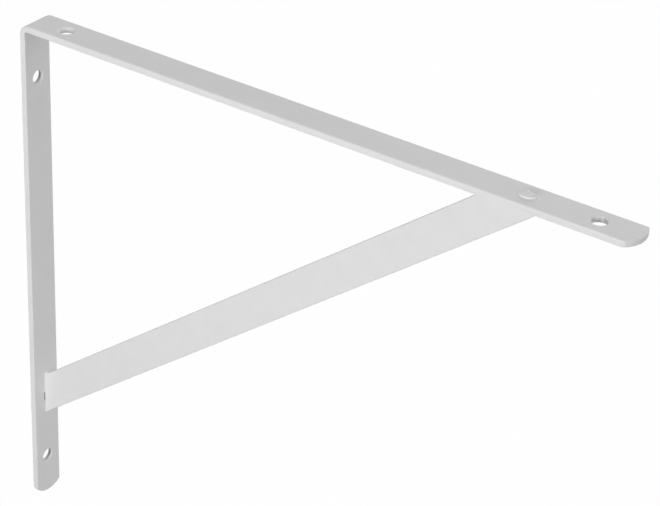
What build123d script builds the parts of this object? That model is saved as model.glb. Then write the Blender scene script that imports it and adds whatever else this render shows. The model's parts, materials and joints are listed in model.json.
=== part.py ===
from build123d import *
import math
import os

# Shelf bracket: one flat steel bar bent to a right angle, held by a flat diagonal brace whose
# two tenons pass through the arms and are hammered over on the outside.
# Millimetres. X runs out from the wall, Y across the bar and Z up. The origin lies on the wall
# face, halfway between the two wall screw holes.

# Angle bar
shelf_reach = 300.0         # wall face to the tip of the shelf arm
wall_drop = 250.0           # shelf face to the lower end of the wall arm
bar_width = 16.0
bar_thickness = 3.0
bend_outer_radius = 5.0     # larger than the inner radius and the thickness, as the bend draws thin
bend_inner_radius = 0.5
near_end_setback = 4.0      # crown of a free end's arch back to its corner on the -Y side
far_end_setback = 2.4       # the same on the +Y side, because the ends are cut a little askew
soft_edge_radius = 0.8      # along the outer faces
crisp_edge_radius = 0.3     # around the inner faces, and across the top of the tip
wall_end_radius = 1.5       # rolled edge that the shear left on the wall arm's end, on the outside
tip_radius = 1.2            # the same on the shelf arm's tip, but on its underside

# Screw holes
hole_diameter = 6.0
hole_rim_radius = 0.5       # rounded rims left by the punch
inner_shelf_hole = 20.0     # wall face to the shelf hole beside the bend
outer_shelf_margin = 19.1   # tip of the shelf arm back to its outer hole
upper_wall_hole = 27.5      # shelf face to the upper wall hole
lower_wall_margin = 20.4    # lower end of the wall arm up to its lower hole

# Shallow dish that the punch leaves around each wall hole, on the screw head's side
dish_diameter = 10.5
dish_depth = 0.2

# Diagonal brace
brace_width = 16.6
brace_thickness = 2.0
brace_edge_radius = 0.5
brace_foot_margin = 56.2    # lower end of the wall arm up to the middle of the foot
brace_head_margin = 53.7    # tip of the shelf arm back to the middle of the head
foot_flare = 1.5            # how far the foot is spread upwards where it meets the wall arm

# Tenons of the brace, and the slots that they pass through
tenon_width = 3.8
foot_tenon_shift = 1.5      # from the middle of the foot, downwards
head_tenon_shift = 3.4      # from the middle of the head, outwards
slot_clearance = 0.5        # play around a tenon in its slot
rivet_overhang = 1.6        # how far a hammered head covers the bar around its slot
rivet_height = 1.4          # at the crown of the head
rivet_skirt = 0.6           # upright side of the head below its dome
rivet_edge_radius = 0.4

# Places worked out from the sizes above
outer_shelf_hole = shelf_reach - outer_shelf_margin
lower_wall_hole = wall_drop - lower_wall_margin
brace_foot_drop = wall_drop - brace_foot_margin
brace_head_reach = shelf_reach - brace_head_margin
foot_tenon_place = brace_foot_drop + foot_tenon_shift
head_tenon_place = brace_head_reach + head_tenon_shift
bend_line = bend_outer_radius + 1
slot_length = tenon_width + 2 * slot_clearance
slot_width = brace_thickness + 2 * slot_clearance
origin_drop = (upper_wall_hole + lower_wall_hole) / 2

# Each arm is drawn flat on its outer face, with local X along the arm from the outer corner and
# local Z out of the angle, so its thickness lies below the plane.
corner = (0, 0, origin_drop)
shelf_face = Plane(origin=corner, x_dir=(1, 0, 0), z_dir=(0, 0, 1))
wall_face = Plane(origin=corner, x_dir=(0, 0, -1), z_dir=(-1, 0, 0))

# The side view of the bracket, with local X out from the wall and local Y up from the shelf face
side_view = Plane(origin=corner, x_dir=(1, 0, 0), z_dir=(0, -1, 0))


def arm_outline(length, near_side):
    """Flat strip from the bend line to a free end that is cut to a shallow arch."""
    half_width = near_side * bar_width / 2
    near_root = math.sqrt(near_end_setback)
    far_root = math.sqrt(far_end_setback)
    crown_shift = half_width * (near_root - far_root) / (near_root + far_root)
    near_corner = (length - near_end_setback, half_width)
    far_corner = (length - far_end_setback, -half_width)
    sides = Polyline(near_corner, (bend_line, half_width), (bend_line, -half_width), far_corner)
    arch = ThreePointArc(far_corner, (length, -crown_shift), near_corner)
    return make_face(sides.edges() + arch.edges())


def bend():
    """Right-angled turn of the bar between its two arms."""
    inner_corner = (bar_thickness, -bar_thickness)
    section = make_face(Polyline(
        (0, 0),
        (bend_line, 0),
        (bend_line, -bar_thickness),
        inner_corner,
        (bar_thickness, -bend_line),
        (0, -bend_line),
        close=True,
    ).edges())
    section = fillet(section.vertices().sort_by_distance((0, 0))[0], bend_outer_radius)
    section = fillet(section.vertices().sort_by_distance(inner_corner)[0], bend_inner_radius)
    return extrude(side_view * section, bar_width / 2, both=True)


def depth(edge):
    """How far the middle of an edge lies in from the outer faces of the angle."""
    middle = edge.center()
    return min(middle.X, origin_drop - middle.Z)


def bent_bar():
    """Angle bar before it is punched, with soft edges outside, crisper ones inside and rolled ends."""
    def inside(edge):
        return depth(edge) > 0.9 * bar_thickness

    def on_tip(edge):
        return edge.center().X > 0.9 * shelf_reach

    def across_end(edge):
        return edge.geom_type == GeomType.CIRCLE and edge.radius > bar_width / 2

    def along_bar(edge):
        if edge.geom_type == GeomType.LINE:
            return edge.length > bar_width
        return edge.geom_type == GeomType.CIRCLE and abs(edge.radius - bend_outer_radius) < 0.001

    def around_inside(edge):
        return edge.geom_type == GeomType.CIRCLE or edge.length > bar_width

    shelf_arm = extrude(shelf_face * arm_outline(shelf_reach, -1), -bar_thickness)
    wall_arm = extrude(wall_face * arm_outline(wall_drop, 1), -bar_thickness)
    bar = shelf_arm + bend() + wall_arm
    wall_end = bar.edges().filter_by(across_end).filter_by(on_tip, reverse=True)
    bar = fillet(wall_end.filter_by(inside, reverse=True), wall_end_radius)
    bar = fillet(bar.edges().filter_by(across_end).filter_by(on_tip).filter_by(inside), tip_radius)
    bar = fillet(bar.edges().filter_by(inside, reverse=True).filter_by(along_bar), soft_edge_radius)
    tip_top = bar.edges().filter_by(across_end).filter_by(on_tip).sort_by(Axis.Z)[-1:]
    inner_edges = bar.edges().filter_by(inside).filter_by(around_inside).filter_by(on_tip, reverse=True)
    return fillet(tip_top + inner_edges, crisp_edge_radius)


def punches(face, places):
    """Round punches through an arm at the given distances along it."""
    return [face * Pos(place, 0, 0) * Cylinder(hole_diameter / 2, 4 * bar_thickness) for place in places]


def dish(place):
    """Cap of a large ball that sinks the wall arm's inner face around a hole."""
    radius = dish_diameter / 2
    ball_radius = (radius ** 2 + dish_depth ** 2) / (2 * dish_depth)
    ball = Pos(0, 0, dish_depth - ball_radius) * Sphere(ball_radius)
    cap = ball & Cylinder(radius, 2 * dish_depth)
    return wall_face * Pos(place, 0, -bar_thickness) * cap


def slot(face, place):
    """Punch for the slot that a tenon passes through."""
    return face * Pos(place, 0, 0) * Box(slot_length, slot_width, 4 * bar_thickness)


def angle_bar():
    """Bent bar with its four screw holes and two slots."""
    shelf_holes = punches(shelf_face, (inner_shelf_hole, outer_shelf_hole))
    wall_holes = punches(wall_face, (upper_wall_hole, lower_wall_hole))
    dishes = [dish(upper_wall_hole), dish(lower_wall_hole)]
    bar = bent_bar() - dishes - shelf_holes - wall_holes
    circles = bar.edges().filter_by(GeomType.CIRCLE).filter_by(lambda edge: edge.is_closed)
    rims = circles.filter_by(lambda edge: abs(edge.radius - hole_diameter / 2) < 0.001)
    bar = fillet(rims, hole_rim_radius)
    return bar - slot(shelf_face, head_tenon_place) - slot(wall_face, foot_tenon_place)


def brace_strip():
    """Flat strip cut to lie along both arms, with its long edges rounded and its foot spread upwards."""
    def against_arm(edge):
        return depth(edge) < bar_thickness + 0.001

    rise = brace_foot_drop - bar_thickness
    run = brace_head_reach - bar_thickness
    angle = math.atan2(rise, run)
    foot_half = brace_width / 2 / math.cos(angle)
    head_half = brace_width / 2 / math.sin(angle)
    foot_top = brace_foot_drop - foot_half - foot_flare
    outline = make_face(Polyline(
        (bar_thickness, -brace_foot_drop - foot_half),
        (brace_head_reach + head_half, -bar_thickness),
        (brace_head_reach - head_half, -bar_thickness),
        (bar_thickness + foot_flare / math.tan(angle), -foot_top),
        (bar_thickness, -foot_top),
        close=True,
    ).edges())
    strip = extrude(side_view * outline, brace_thickness / 2, both=True)
    long_edges = strip.edges().filter_by(Axis.Y, reverse=True).filter_by(against_arm, reverse=True)
    return fillet(long_edges, brace_edge_radius)


def tenon(face, place):
    """Tongue left on an end of the strip, reaching through the arm to its outer face."""
    root = 2 * brace_edge_radius
    middle = -(bar_thickness + root) / 2
    return face * Pos(place, 0, middle) * Box(tenon_width, brace_thickness, bar_thickness + root)


def rivet_head(face, place):
    """Low oval head hammered out of a tenon's end, seated on the outer face of an arm."""
    half_length = slot_length / 2 + rivet_overhang
    half_width = slot_width / 2 + rivet_overhang
    dome_height = rivet_height - rivet_skirt
    ball_radius = (half_length ** 2 + dome_height ** 2) / (2 * dome_height)
    ball = Pos(0, 0, rivet_height - ball_radius) * Sphere(ball_radius)
    cap = ball & Pos(0, 0, rivet_height / 2) * Cylinder(half_length, rivet_height)
    rim = cap.edges().filter_by(lambda edge: edge.is_closed).sort_by(Axis.Z)[-1]
    cap = fillet(rim, rivet_edge_radius)
    return face * Pos(place, 0, 0) * scale(cap, by=(1, half_width / half_length, 1))


def diagonal_brace():
    """Strip with its two tenons hammered over outside the arms."""
    foot = tenon(wall_face, foot_tenon_place) + rivet_head(wall_face, foot_tenon_place)
    head = tenon(shelf_face, head_tenon_place) + rivet_head(shelf_face, head_tenon_place)
    return brace_strip() + foot + head


os.makedirs("parts", exist_ok=True)
export_step(angle_bar(), "parts/angle_bar.step")
export_step(diagonal_brace(), "parts/diagonal_brace.step")
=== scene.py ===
import json
import math
import bmesh
import bpy
from mathutils import Matrix, Vector


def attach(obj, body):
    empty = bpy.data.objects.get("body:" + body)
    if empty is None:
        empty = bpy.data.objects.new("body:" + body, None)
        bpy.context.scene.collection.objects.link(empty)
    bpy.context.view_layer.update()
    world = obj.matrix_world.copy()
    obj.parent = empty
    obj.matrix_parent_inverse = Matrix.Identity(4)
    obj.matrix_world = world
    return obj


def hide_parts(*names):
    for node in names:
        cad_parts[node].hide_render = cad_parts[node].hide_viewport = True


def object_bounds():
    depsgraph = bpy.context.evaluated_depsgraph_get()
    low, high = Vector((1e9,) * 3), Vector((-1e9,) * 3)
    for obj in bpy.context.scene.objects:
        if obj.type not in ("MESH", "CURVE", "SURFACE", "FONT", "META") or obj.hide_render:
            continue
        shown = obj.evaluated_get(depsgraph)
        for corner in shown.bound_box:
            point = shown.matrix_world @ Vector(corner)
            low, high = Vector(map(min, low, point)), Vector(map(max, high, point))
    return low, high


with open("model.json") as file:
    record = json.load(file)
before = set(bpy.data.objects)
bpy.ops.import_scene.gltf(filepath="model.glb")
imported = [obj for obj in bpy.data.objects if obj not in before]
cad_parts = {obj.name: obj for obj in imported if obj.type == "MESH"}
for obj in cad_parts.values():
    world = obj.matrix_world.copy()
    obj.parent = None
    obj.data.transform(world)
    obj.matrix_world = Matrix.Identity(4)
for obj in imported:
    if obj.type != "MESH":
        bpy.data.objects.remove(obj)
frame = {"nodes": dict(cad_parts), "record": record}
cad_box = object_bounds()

# Angle bar: one flat steel bar, bent to a right angle, with punched screw holes and slots.
# It is painted all over in one coat of off-white satin powder paint, which draws in over the
# rims of the holes and misses patches inside the outer shelf hole. The deep part of the wall holes' walls
# is painted dull grey as shade.

millimetre = 0.001
wall_holes, shelf_holes = frame["record"]["mounts"]
hole_radius = shelf_holes["dims"]["hole_r_mm"] * millimetre
shelf_hole_spread = shelf_holes["dims"]["spacing_x_mm"] * millimetre / 2
wall_hole_rise = wall_holes["dims"]["spacing_y_mm"] * millimetre / 2
shelf_middle, bar_middle, shelf_top = shelf_holes["pos_m"]
shelf_hole_places = (shelf_middle - shelf_hole_spread, shelf_middle + shelf_hole_spread)
wall_hole_heights = (wall_hole_rise, -wall_hole_rise)
bar_thickness = 0.0030
punched_rim = 0.0005        # rounded rim of a hole in the bare steel
painted_rim = 0.0013        # the same rim under its coat of paint
rim_steps = 10
wall_bore_depth = 0.0025    # wall face to the front rim of a wall hole, which keeps its shape
merge_distance = 1e-6
slack = 1e-5
sharp_angle = math.radians(35)

bar_mesh = bmesh.new()
bar_mesh.from_mesh(frame["nodes"]["angle_bar"].data)
bmesh.ops.remove_doubles(bar_mesh, verts=bar_mesh.verts, dist=merge_distance)


def clear_bore(middle, outward, depth):
    """Take a hole's wall away from one face down to a depth, and give the two rings that are left."""
    def height(vert):
        return (vert.co - middle).dot(outward)

    def within(vert):
        across = (vert.co - middle) - height(vert) * outward
        return across.length < hole_radius + punched_rim + slack and height(vert) > -depth

    wall = [face for face in bar_mesh.faces if all(within(vert) for vert in face.verts)]
    bmesh.ops.delete(bar_mesh, geom=wall, context="FACES")
    rings = [edge for edge in bar_mesh.edges if edge.is_boundary]
    outer_ring = [edge for edge in rings if height(edge.verts[0]) > -slack]
    inner_ring = [edge for edge in rings if height(edge.verts[0]) < -slack]
    return outer_ring, inner_ring


def draw_in(ring, middle, outward, radius, depth):
    """Set a ring of edges to a radius about the hole's axis and a depth below the face."""
    for vert in {vert for edge in ring for vert in edge.verts}:
        offset = vert.co - middle
        across = offset - offset.dot(outward) * outward
        vert.co = middle + radius * across.normalized() - depth * outward


def round_mouth(ring, middle, outward):
    """Roll a wide round rim from a ring on the face down into the hole."""
    draw_in(ring, middle, outward, hole_radius + painted_rim, 0)
    for step in range(1, rim_steps + 1):
        turn = math.radians(90 * step / rim_steps)
        radius = hole_radius + painted_rim * (1 - math.sin(turn))
        depth = painted_rim * (1 - math.cos(turn))
        made = bmesh.ops.extrude_edge_only(bar_mesh, edges=ring)["geom"]
        ring = [item for item in made if isinstance(item, bmesh.types.BMEdge) and item.is_boundary]
        draw_in(ring, middle, outward, radius, depth)
    return ring


upward = Vector((0, 0, 1))
for place in shelf_hole_places:
    upper_middle = Vector((place, bar_middle, shelf_top))
    lower_middle = upper_middle - bar_thickness * upward
    upper_ring, lower_ring = clear_bore(upper_middle, upward, bar_thickness + slack)
    upper_ring = round_mouth(upper_ring, upper_middle, upward)
    lower_ring = round_mouth(lower_ring, lower_middle, -upward)
    bmesh.ops.bridge_loops(bar_mesh, edges=upper_ring + lower_ring)

wallward = Vector((-1, 0, 0))
for hole_height in wall_hole_heights:
    back_middle = Vector((0, bar_middle, hole_height))
    back_ring, front_ring = clear_bore(back_middle, wallward, wall_bore_depth)
    back_ring = round_mouth(back_ring, back_middle, wallward)
    bmesh.ops.bridge_loops(bar_mesh, edges=back_ring + front_ring)

bmesh.ops.recalc_face_normals(bar_mesh, faces=bar_mesh.faces)
for face in bar_mesh.faces:
    face.smooth = True
bar_data = bpy.data.meshes.new("bar")
bar_mesh.to_mesh(bar_data)
bar_mesh.free()
bar_data.set_sharp_from_angle(angle=sharp_angle)
bar = bpy.data.objects.new("bar", bar_data)
bpy.context.scene.collection.objects.link(bar)
even_faces = bar.modifiers.new("even_faces", "WEIGHTED_NORMAL")
even_faces.keep_sharp = True

off_white = (0.88, 0.88, 0.88, 1)
cloud_scale = 90
cloud_detail = 4
cloud_span = (0.3, 0.7)
cloud_shades = (0.97, 1.0)
satin_roughness = (0.40, 0.50)
peel_scale = 900
peel_detail = 2
peel_strength = 0.15
peel_depth = 0.00003


def feed(tree, socket, value):
    """Link a socket to another one, or set it to a plain value."""
    if isinstance(value, bpy.types.NodeSocket):
        tree.links.new(value, socket)
    else:
        socket.default_value = value


def fade(tree, value, span, levels):
    """Even change from the first level to the last as a value runs over its span."""
    node = tree.nodes.new("ShaderNodeMapRange")
    feed(tree, node.inputs["Value"], value)
    for name, given in zip(("From Min", "From Max", "To Min", "To Max"), (*span, *levels)):
        feed(tree, node.inputs[name], given)
    return node.outputs["Result"]


def mix(tree, blend, share, first, second):
    """A share of the second colour blended into the first."""
    node = tree.nodes.new("ShaderNodeMix")
    node.data_type = "RGBA"
    node.blend_type = blend
    for name, given in zip(("Factor", "A", "B"), (share, first, second)):
        feed(tree, node.inputs[name], given)
    return node.outputs["Result"]


def spot(tree):
    """Place on the bracket."""
    return tree.nodes.new("ShaderNodeTexCoord").outputs["Object"]


def grain(tree, place, scale, detail):
    """Irregular pattern that the place on the bracket decides."""
    node = tree.nodes.new("ShaderNodeTexNoise")
    for name, given in zip(("Vector", "Scale", "Detail"), (place, scale, detail)):
        feed(tree, node.inputs[name], given)
    return node.outputs["Fac"]


def paint_film():
    """Node group of a sprayed powder coat: its slight cloudiness, its gloss and its orange peel."""
    group = bpy.data.node_groups.new("paint_film", "ShaderNodeTree")
    group.interface.new_socket("Tone", in_out="INPUT", socket_type="NodeSocketColor")
    group.interface.new_socket("Color", in_out="OUTPUT", socket_type="NodeSocketColor")
    for name in ("Roughness", "Height"):
        group.interface.new_socket(name, in_out="OUTPUT", socket_type="NodeSocketFloat")
    inlet = group.nodes.new("NodeGroupInput")
    outlet = group.nodes.new("NodeGroupOutput")
    place = spot(group)
    cloud = grain(group, place, cloud_scale, cloud_detail)
    shade = fade(group, cloud, cloud_span, cloud_shades)
    feed(group, outlet.inputs["Color"], mix(group, "MULTIPLY", 1, inlet.outputs["Tone"], shade))
    feed(group, outlet.inputs["Roughness"], fade(group, cloud, (0, 1), satin_roughness))
    feed(group, outlet.inputs["Height"], grain(group, place, peel_scale, peel_detail))
    return group


film = paint_film()


def paint(name, tone):
    """Satin paint on steel, with the coat's own cloudiness, gloss and orange peel."""
    material = bpy.data.materials.new(name)
    material.use_nodes = True
    tree = material.node_tree
    shader = tree.nodes["Principled BSDF"]
    coat = tree.nodes.new("ShaderNodeGroup")
    coat.node_tree = film
    coat.inputs["Tone"].default_value = tone
    bump = tree.nodes.new("ShaderNodeBump")
    bump.inputs["Strength"].default_value = peel_strength
    bump.inputs["Distance"].default_value = peel_depth
    feed(tree, shader.inputs["Base Color"], coat.outputs["Color"])
    feed(tree, shader.inputs["Roughness"], coat.outputs["Roughness"])
    feed(tree, bump.inputs["Height"], coat.outputs["Height"])
    feed(tree, shader.inputs["Normal"], bump.outputs["Normal"])
    return material


def lay_over_paint(tree, colour, mask):
    """Lay another colour over the paint where a mask says so: steel in paint chips, or painted shade."""
    base = tree.nodes["Principled BSDF"].inputs["Base Color"]
    painted = base.links[0].from_socket
    feed(tree, base, mix(tree, "MIX", mask, painted, colour))


# Dull grey: painted shade deep in the wall holes, and bare steel in paint chips in the outer shelf hole.
dull_steel_and_bore_shade = (0.34, 0.34, 0.34, 1)
bore_shade_radius = (0.00304, 0.00320)   # out from the axis of a wall hole, where the painted shade fades out
bore_shade_depth = (0.0017, 0.0024)      # from the wall face, where the painted shade fades out towards the front rim
bore_shade_side = (-0.0028, -0.0012)     # up from the axis: the painted shade is weaker at the bottom of the bore
bore_shade_share = (0.2, 1)
bare_shelf_radius = (0.0031, 0.0036)
chip_scale = 1100
chip_detail = 2
chip_span = (0.47, 0.63)
chip_share = (0, 0.75)


def number(tree, operation, first, second=0.0):
    """One sum on sockets or plain numbers."""
    node = tree.nodes.new("ShaderNodeMath")
    node.operation = operation
    feed(tree, node.inputs[0], first)
    feed(tree, node.inputs[1], second)
    return node.outputs["Value"]


def distance(tree, first, second):
    """Length of the line that two sockets give the two sides of."""
    squares = (number(tree, "MULTIPLY", first, first), number(tree, "MULTIPLY", second, second))
    return number(tree, "SQRT", number(tree, "ADD", *squares))


def parts(tree, place):
    """The three parts of a place: out from the wall, across the bar and up."""
    node = tree.nodes.new("ShaderNodeSeparateXYZ")
    feed(tree, node.inputs["Vector"], place)
    return node.outputs


def painted_wall_bore_shade(tree):
    """Painted shade on the deep part of both wall holes."""
    out, across, up = parts(tree, spot(tree))
    nearest_hole = number(tree, "MULTIPLY", number(tree, "SIGN", up), wall_hole_rise)
    above_axis = number(tree, "SUBTRACT", up, nearest_hole)
    from_axis = distance(tree, above_axis, across)
    on_bore = fade(tree, from_axis, bore_shade_radius, (1, 0))
    deep = number(tree, "MULTIPLY", on_bore, fade(tree, out, bore_shade_depth, (1, 0)))
    return number(tree, "MULTIPLY", deep, fade(tree, above_axis, bore_shade_side, bore_shade_share))


def chipped_shelf_bore(tree):
    """Patches inside the shelf arm's outer hole, that the paint misses."""
    place = spot(tree)
    out, across, _ = parts(tree, place)
    from_axis = distance(tree, number(tree, "SUBTRACT", out, shelf_hole_places[1]), across)
    on_bore = fade(tree, from_axis, bare_shelf_radius, (1, 0))
    chips = fade(tree, grain(tree, place, chip_scale, chip_detail), chip_span, chip_share)
    return number(tree, "MULTIPLY", on_bore, chips)


bar_paint = paint("bar_paint", off_white)
bar_tree = bar_paint.node_tree
# Painted shade in the wall holes' bores, and paint chips in the outer shelf hole.
bore_shade_and_chips = number(bar_tree, "MAXIMUM", painted_wall_bore_shade(bar_tree), chipped_shelf_bore(bar_tree))
lay_over_paint(bar_tree, dull_steel_and_bore_shade, bore_shade_and_chips)
bar.data.materials.append(bar_paint)
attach(bar, "root")
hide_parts("angle_bar")

# Diagonal brace: a flat steel strip on edge, its two tenons hammered over outside the arms.
# It is painted together with the bar, so it has the same coat. The tenons inside the slots and the far
# side of the head above the shelf are painted near black as shade.

# Near black: painted shade in the slots and on the far side of the head on the shelf.
painted_shade_black = (0.02, 0.02, 0.02, 1)
slot_mouth = (0.00005, 0.00015)         # in from the outer face of an arm
slot_end = (bar_thickness - 0.00010, bar_thickness - 0.00002)
head_place = 0.2497                     # wall face to the middle of the head on the shelf
head_half_length = 0.0040
head_half_width = 0.0031
head_seat = (shelf_top, shelf_top + 0.0001)
# Where the painted shadow on the far side of the head begins and ends:
head_shadow_start = (0.38, 0.48)             # shares of the way from the middle of the head to its rim
head_shadow_end = (0.92, 0.95)
head_shadow_side = (0.30, 0.45)              # the same, but straight across to the far side
head_shadow_share = (0, 0.6)


def painted_slot_shade(tree):
    """Painted shade on the tenons inside their slots."""
    out, _, up = parts(tree, spot(tree))
    depth = number(tree, "MINIMUM", out, number(tree, "SUBTRACT", shelf_top, up))
    past_mouth = fade(tree, depth, slot_mouth, (0, 1))
    return number(tree, "MULTIPLY", past_mouth, fade(tree, depth, slot_end, (1, 0)))


def painted_head_shadow(tree):
    """Painted shadow on the far side of the head on the shelf."""
    out, across, up = parts(tree, spot(tree))
    along_head = number(tree, "DIVIDE", number(tree, "SUBTRACT", out, head_place), head_half_length)
    across_head = number(tree, "DIVIDE", across, head_half_width)
    from_middle = distance(tree, along_head, across_head)
    far_shadow = fade(tree, from_middle, head_shadow_start, (0, 1))
    far_shadow = number(tree, "MULTIPLY", far_shadow, fade(tree, from_middle, head_shadow_end, (1, 0)))
    far_shadow = number(tree, "MULTIPLY", far_shadow, fade(tree, across_head, head_shadow_side, head_shadow_share))
    return number(tree, "MULTIPLY", far_shadow, fade(tree, up, head_seat, (0, 1)))


brace = frame["nodes"]["diagonal_brace"]
brace_paint = paint("brace_paint", off_white)
brace_tree = brace_paint.node_tree
# Painted shade in the slots and painted shadow on the far side of the head.
slot_and_head_shade = number(brace_tree, "MAXIMUM", painted_slot_shade(brace_tree), painted_head_shadow(brace_tree))
lay_over_paint(brace_tree, painted_shade_black, slot_and_head_shade)
brace.data.materials.clear()
brace.data.materials.append(brace_paint)

# Studio floor: a pale, matt sheet well below the bracket, which hangs free above it.
# It is grey enough to throw little light back up, but looks white to the camera.

floor_gap = 0.12
floor_size = 12.0
floor_grey = (0.5, 0.5, 0.5, 1)
glow_strength = 1
glow_share = 0.99
low_corner, high_corner = cad_box
floor_mesh = bmesh.new()
bmesh.ops.create_grid(floor_mesh, x_segments=1, y_segments=1, size=floor_size / 2)
bmesh.ops.translate(floor_mesh, verts=floor_mesh.verts, vec=(0, 0, low_corner.z - floor_gap))
floor_data = bpy.data.meshes.new("floor")
floor_mesh.to_mesh(floor_data)
floor_mesh.free()
floor = bpy.data.objects.new("floor", floor_data)
bpy.context.scene.collection.objects.link(floor)


def in_sight(tree):
    """Whether a ray comes from the camera, or off a shiny or clear surface that mirrors the background."""
    path = tree.nodes.new("ShaderNodeLightPath")
    mirrored = number(tree, "MAXIMUM", path.outputs["Is Glossy Ray"], path.outputs["Is Transmission Ray"])
    return number(tree, "MAXIMUM", path.outputs["Is Camera Ray"], mirrored)


floor_paint = bpy.data.materials.new("floor_white")
floor_paint.use_nodes = True
floor_tree = floor_paint.node_tree
floor_tree.nodes.clear()
matte = floor_tree.nodes.new("ShaderNodeBsdfDiffuse")
matte.inputs["Color"].default_value = floor_grey
glow = floor_tree.nodes.new("ShaderNodeEmission")
glow.inputs["Strength"].default_value = glow_strength
blend = floor_tree.nodes.new("ShaderNodeMixShader")
feed(floor_tree, blend.inputs["Fac"], number(floor_tree, "MULTIPLY", in_sight(floor_tree), glow_share))
feed(floor_tree, blend.inputs[1], matte.outputs["BSDF"])
feed(floor_tree, blend.inputs[2], glow.outputs["Emission"])
surface = floor_tree.nodes.new("ShaderNodeOutputMaterial")
feed(floor_tree, surface.inputs["Surface"], blend.outputs["Shader"])
floor.data.materials.append(floor_paint)

# Studio tent: white cloth all round the bracket, lit so that it is bright out to the far right
# of the bracket and dim on the side of the wall. The camera sees it as plain white.

white = (1, 1, 1, 1)
tent_direction = Vector((0.73, 0.68, 0)).normalized()
tent_dim = 0.139
tent_bright = 0.811
world = bpy.data.worlds.new("studio")
world.use_nodes = True
bpy.context.scene.world = world
tent_tree = world.node_tree
sight = tent_tree.nodes.new("ShaderNodeTexCoord")
facing = tent_tree.nodes.new("ShaderNodeVectorMath")
facing.operation = "DOT_PRODUCT"
feed(tent_tree, facing.inputs[0], sight.outputs["Generated"])
feed(tent_tree, facing.inputs[1], tent_direction)
cloth = fade(tent_tree, facing.outputs["Value"], (-1, 1), (tent_dim, tent_bright))
sky = tent_tree.nodes["Background"]
feed(tent_tree, sky.inputs["Color"], mix(tent_tree, "MIX", in_sight(tent_tree), cloth, white))

# Softboxes: two square lamps that hang well away from the bracket, a strong one square on to the
# near edge of the bar and a weak one behind it, both a little above the middle of the bracket.
# Each is set by the tone that it alone would give a white sheet facing it at the bracket.

lamp_distance = 1.1
lamp_size = 0.45
softboxes = (
    ("key", Vector((0.01, -0.96, 0.27)), 0.495),
    ("rim", Vector((-0.25, 0.93, 0.25)), 0.137),
)
centre = (low_corner + high_corner) / 2
for name, direction, sheet_tone in softboxes:
    lamp_data = bpy.data.lights.new(name, "AREA")
    lamp_data.shape = "SQUARE"
    lamp_data.size = lamp_size
    lamp_data.energy = sheet_tone * math.pi ** 2 * lamp_distance ** 2
    lamp = bpy.data.objects.new(name, lamp_data)
    lamp.location = centre + direction.normalized() * lamp_distance
    lamp.rotation_mode = "QUATERNION"
    lamp.rotation_quaternion = direction.to_track_quat("Z", "Y")
    bpy.context.scene.collection.objects.link(lamp)

# Camera: a long lens at the place that the photograph was taken from, to the right of the near
# side and about 30 degrees above the shelf, rolled a little.

view_azimuth = math.radians(33.595)
view_elevation = math.radians(30.405)
view_roll = math.radians(2.672)
view_distance = 0.95247
view_target = Vector((0.16051, 0, 0.06992))
lens_length = 126.108
sensor_width = 36
back = Vector((math.sin(view_azimuth) * math.cos(view_elevation),
               -math.cos(view_azimuth) * math.cos(view_elevation),
               math.sin(view_elevation)))
level_right = upward.cross(back).normalized()
level_up = back.cross(level_right)
right = math.cos(view_roll) * level_right + math.sin(view_roll) * level_up
up = math.cos(view_roll) * level_up - math.sin(view_roll) * level_right
camera_data = bpy.data.cameras.new("camera")
camera_data.lens = lens_length
camera_data.sensor_width = sensor_width
camera = bpy.data.objects.new("camera", camera_data)
turn = Matrix((right, up, back)).transposed().to_4x4()
camera.matrix_world = Matrix.Translation(view_target + back * view_distance) @ turn
bpy.context.scene.collection.objects.link(camera)
bpy.context.scene.camera = camera

bpy.context.scene.view_settings.view_transform = "Standard"
